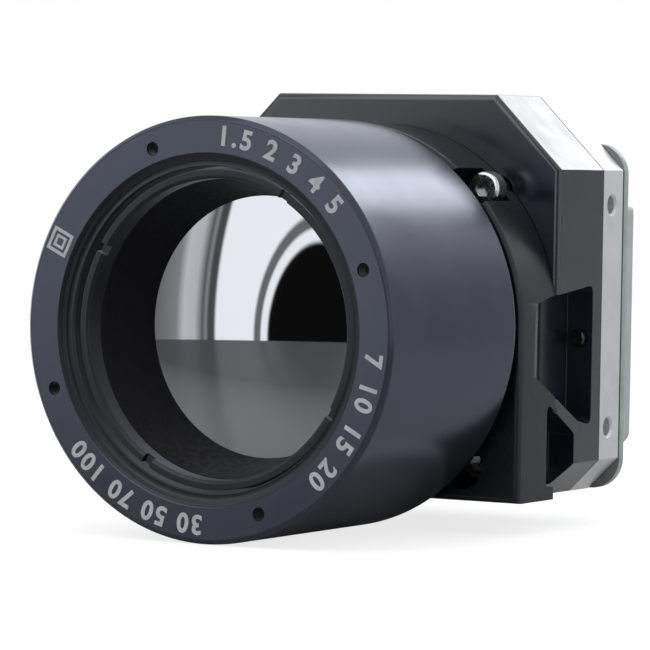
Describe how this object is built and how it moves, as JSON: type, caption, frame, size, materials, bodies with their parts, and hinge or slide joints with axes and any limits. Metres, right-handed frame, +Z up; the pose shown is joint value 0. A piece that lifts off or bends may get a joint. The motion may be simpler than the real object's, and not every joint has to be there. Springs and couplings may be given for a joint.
{
  "type": "thermal camera core",
  "caption": "Compact uncooled thermal camera core: fast germanium lens that focuses on a locked thread, calibration shutter, detector, boards and metal housing.",
  "frame": {"origin": "where the lens axis meets the rear cover's flat outer face", "axes": "+Z up, -Y out of the lens towards the scene, +Y out of the rear cover, +X to the right seen from the front"},
  "size_m": [0.045, 0.0575, 0.0481],
  "materials": {
    "black_anodised_aluminium": "satin dark anodise",
    "black_anodised_ring": "satin dark anodise",
    "matte_black_baffle": "matte black",
    "coated_germanium": "polished, coated, opaque to visible light",
    "black_rubber": "matte",
    "black_housing": "satin black",
    "stainless_steel": "machined",
    "shutter_steel": "matte black coat on steel",
    "ceramic_package": "fired ceramic",
    "chip_plastic": "moulded",
    "circuit_board": "solder-masked laminate",
    "connector_plastic": "moulded",
    "gold_plate": "gold-plated contacts",
    "bare_aluminium": "fine-blasted bare metal",
    "rear_cover_aluminium": "fine-blasted bare metal"
  },
  "bodies": {
    "housing": {"lens_mount": "black_housing", "lens_mount_screw_1": "stainless_steel", "lens_mount_screw_2": "stainless_steel", "lens_mount_screw_3": "stainless_steel", "lens_mount_screw_4": "stainless_steel", "front_housing": "black_housing", "flange_screw_1": "stainless_steel", "flange_screw_2": "stainless_steel", "shutter_base": "shutter_steel", "shutter_motor": "shutter_steel", "detector_window": "coated_germanium", "detector_package": "ceramic_package", "detector_array": "chip_plastic", "detector_board": "circuit_board", "board_spacer_1": "stainless_steel", "board_spacer_2": "stainless_steel", "board_spacer_3": "stainless_steel", "board_spacer_4": "stainless_steel", "stacking_connector": "connector_plastic", "processor_chip": "chip_plastic", "processor_board": "circuit_board", "memory_chip_1": "chip_plastic", "memory_chip_2": "chip_plastic", "interface_connector": "connector_plastic", "rear_frame": "bare_aluminium", "interface_board": "circuit_board", "frame_screw_1": "stainless_steel", "frame_screw_2": "stainless_steel", "frame_screw_3": "stainless_steel", "frame_screw_4": "stainless_steel", "rear_cover": "rear_cover_aluminium", "cover_screw_1": "stainless_steel", "cover_screw_2": "stainless_steel", "cover_screw_3": "stainless_steel", "cover_screw_4": "stainless_steel", "rear_connector": "connector_plastic", "contact_row_upper": "gold_plate", "contact_row_lower": "gold_plate", "video_socket": "gold_plate", "video_pin": "gold_plate", "power_socket": "connector_plastic", "power_contacts": "gold_plate"},
    "lens_seal_carrier": {"lens_seal": "black_rubber"},
    "lens": {"lens_barrel": "black_anodised_aluminium", "front_retaining_ring": "black_anodised_ring", "front_baffle_cone": "matte_black_baffle", "front_element": "coated_germanium", "front_element_seal": "black_rubber", "lens_baffle": "matte_black_baffle", "rear_element": "coated_germanium", "rear_retaining_ring": "black_anodised_ring"},
    "lock_ring": {"focus_lock_ring": "black_anodised_ring"},
    "shutter": {"shutter_flag": "shutter_steel", "shutter_shaft": "stainless_steel"}
  },
  "joints": [
    {"name": "focus_travel", "type": "slide", "parent": "housing", "child": "lens_seal_carrier", "axis": [0, -1, 0], "range_m": [0, 0.001]},
    {"name": "focus_turn", "type": "hinge", "parent": "lens_seal_carrier", "child": "lens", "pos_m": [0, -0.03, 0], "axis": [0, -1, 0], "range_deg": [0, 720]},
    {"name": "lock_ring_turn", "type": "hinge", "parent": "lens", "child": "lock_ring", "pos_m": [0, -0.03, 0], "axis": [0, -1, 0], "range_deg": [0, 90]},
    {"name": "shutter_swing", "type": "hinge", "parent": "housing", "child": "shutter", "pos_m": [0.007, -0.0156, 0.0183], "axis": [0, -1, 0], "range_deg": [0, 40]}
  ],
  "couplings": [
    {"joint": "focus_travel", "follows": "focus_turn", "m_per_rad": 0.000079577}
  ]
}
